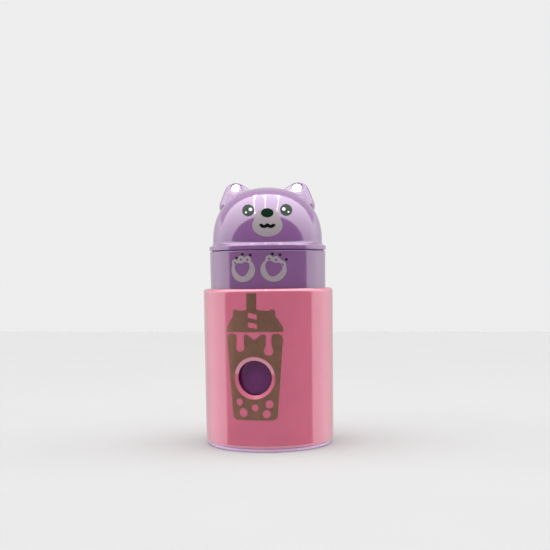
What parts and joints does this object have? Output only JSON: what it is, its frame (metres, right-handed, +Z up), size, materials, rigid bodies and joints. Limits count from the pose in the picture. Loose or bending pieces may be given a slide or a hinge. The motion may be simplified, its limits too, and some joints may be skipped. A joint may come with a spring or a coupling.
{
  "type": "pencil sharpener",
  "caption": "Press-to-open pencil sharpener: round sleeve with a pencil port, sliding bin with a latch and spring, and a swivelling bear-head lid.",
  "frame": {"origin": "centre of the underside of the base cap", "axes": "+Z up along the sleeve; the pencil port faces -Y, so a pencil goes in along +Y; +X to the right of the port"},
  "size_m": [0.035, 0.035, 0.0705],
  "materials": {
    "sleeve_pink": "moulded gloss",
    "barrel_purple": "moulded gloss",
    "head_purple": "moulded gloss",
    "base_purple": "moulded gloss",
    "plug_purple": "fine satin",
    "carrier_white": "satin",
    "insert_white": "satin",
    "cam_acetal": "satin",
    "blade_steel": "ground",
    "screw_steel": "plated",
    "spring_steel": "drawn wire"
  },
  "bodies": {
    "root": {"sleeve": "sleeve_pink", "base_cap": "base_purple", "latch_leaf": "spring_steel", "return_spring": "spring_steel"},
    "carriage": {"barrel": "barrel_purple", "cam_plate": "cam_acetal", "insert_carrier": "carrier_white", "sharpener_insert": "insert_white", "blade": "blade_steel", "blade_screw": "screw_steel"},
    "latch": {"latch_pin": "spring_steel"},
    "lid": {"lid_plug": "plug_purple"},
    "head": {"head_shell": "head_purple"}
  },
  "joints": [
    {"name": "press_slide", "type": "slide", "parent": "root", "child": "carriage", "axis": [0, 0, -1], "range_m": [0, 0.0102], "stiffness_N_per_m": 350, "springref_m": -0.007, "deforming": ["return_spring"]},
    {"name": "latch_swing", "type": "hinge", "parent": "root", "child": "latch", "pos_m": [0, 0.0143, 0.003], "axis": [0, 1, 0], "range_deg": [0, 7.1]},
    {"name": "lid_lift", "type": "slide", "parent": "carriage", "child": "lid", "axis": [0, 0, 1], "range_m": [0, 0.02]},
    {"name": "head_turn", "type": "hinge", "parent": "lid", "child": "head", "pos_m": [0, 0, 0.052], "axis": [0, 0, 1], "continuous": true}
  ],
  "couplings": [
    {"joint": "latch_swing", "follows": "press_slide", "rad_per_m": 12}
  ]
}
